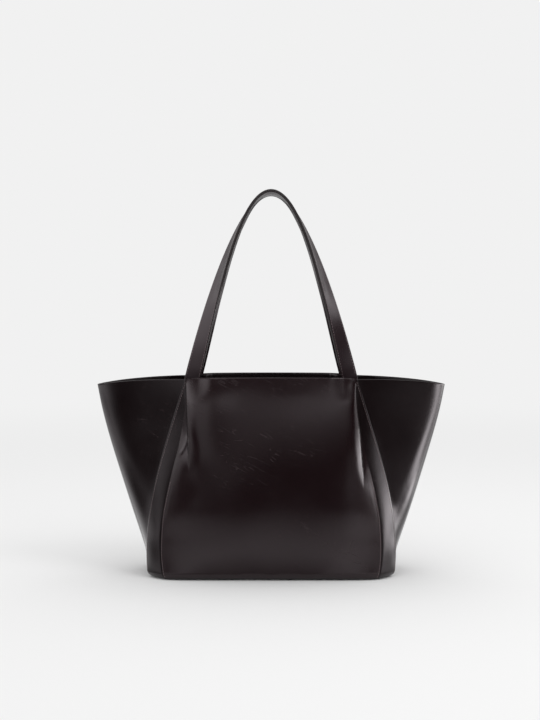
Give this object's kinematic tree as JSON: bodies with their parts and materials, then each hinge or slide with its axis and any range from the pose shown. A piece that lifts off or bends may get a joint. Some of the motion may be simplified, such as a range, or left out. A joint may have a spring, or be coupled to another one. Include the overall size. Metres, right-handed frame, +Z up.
{
  "type": "shopper bag",
  "caption": "Winged leather shopper bag with a bulging pleated front, lapped side strips, flared side gussets, an open lined inside and long shoulder straps that fold down.",
  "frame": {"origin": "centre of the base, on the floor that the bag stands on", "axes": "+Z up, -Y towards the front panel that the picture shows, +X towards its right-hand side"},
  "size_m": [0.499, 0.1834, 0.5479],
  "materials": {
    "dark_leather": "smooth, half gloss",
    "split_leather": "matt, uncoated",
    "lining_cloth": "plain weave",
    "fibre_board": "raw pressed fibre",
    "nickel": "nickel plated"
  },
  "bodies": {
    "body": {"front_panel": "dark_leather", "front_facing": "dark_leather", "front_lining": "lining_cloth", "front_left_strip": "dark_leather", "front_left_strap_tab": "dark_leather", "front_left_patch": "split_leather", "front_right_strip": "dark_leather", "front_right_strap_tab": "dark_leather", "front_right_patch": "split_leather", "front_snap_washer": "nickel", "back_panel": "dark_leather", "back_facing": "dark_leather", "back_lining": "lining_cloth", "back_left_strip": "dark_leather", "back_left_strap_tab": "dark_leather", "back_left_patch": "split_leather", "back_right_strip": "dark_leather", "back_right_strap_tab": "dark_leather", "back_right_patch": "split_leather", "back_snap_washer": "nickel", "snap_socket": "nickel", "snap_stud": "nickel", "left_gusset": "dark_leather", "left_facing": "dark_leather", "left_lining": "lining_cloth", "right_gusset": "dark_leather", "right_facing": "dark_leather", "right_lining": "lining_cloth", "bottom_panel": "dark_leather", "base_board": "fibre_board", "bottom_lining": "lining_cloth"},
    "front_strap": {"front_strap_face": "dark_leather", "front_strap_core": "split_leather", "front_strap_backing": "dark_leather"},
    "back_strap": {"back_strap_face": "dark_leather", "back_strap_core": "split_leather", "back_strap_backing": "dark_leather"}
  },
  "joints": [
    {"name": "front_strap_fold", "type": "hinge", "parent": "body", "child": "front_strap", "pos_m": [0, -0.0585, 0.2825], "axis": [1, 0, 0], "range_deg": [0, 165]},
    {"name": "back_strap_fold", "type": "hinge", "parent": "body", "child": "back_strap", "pos_m": [0, 0.0585, 0.2825], "axis": [-1, 0, 0], "range_deg": [0, 165]}
  ]
}
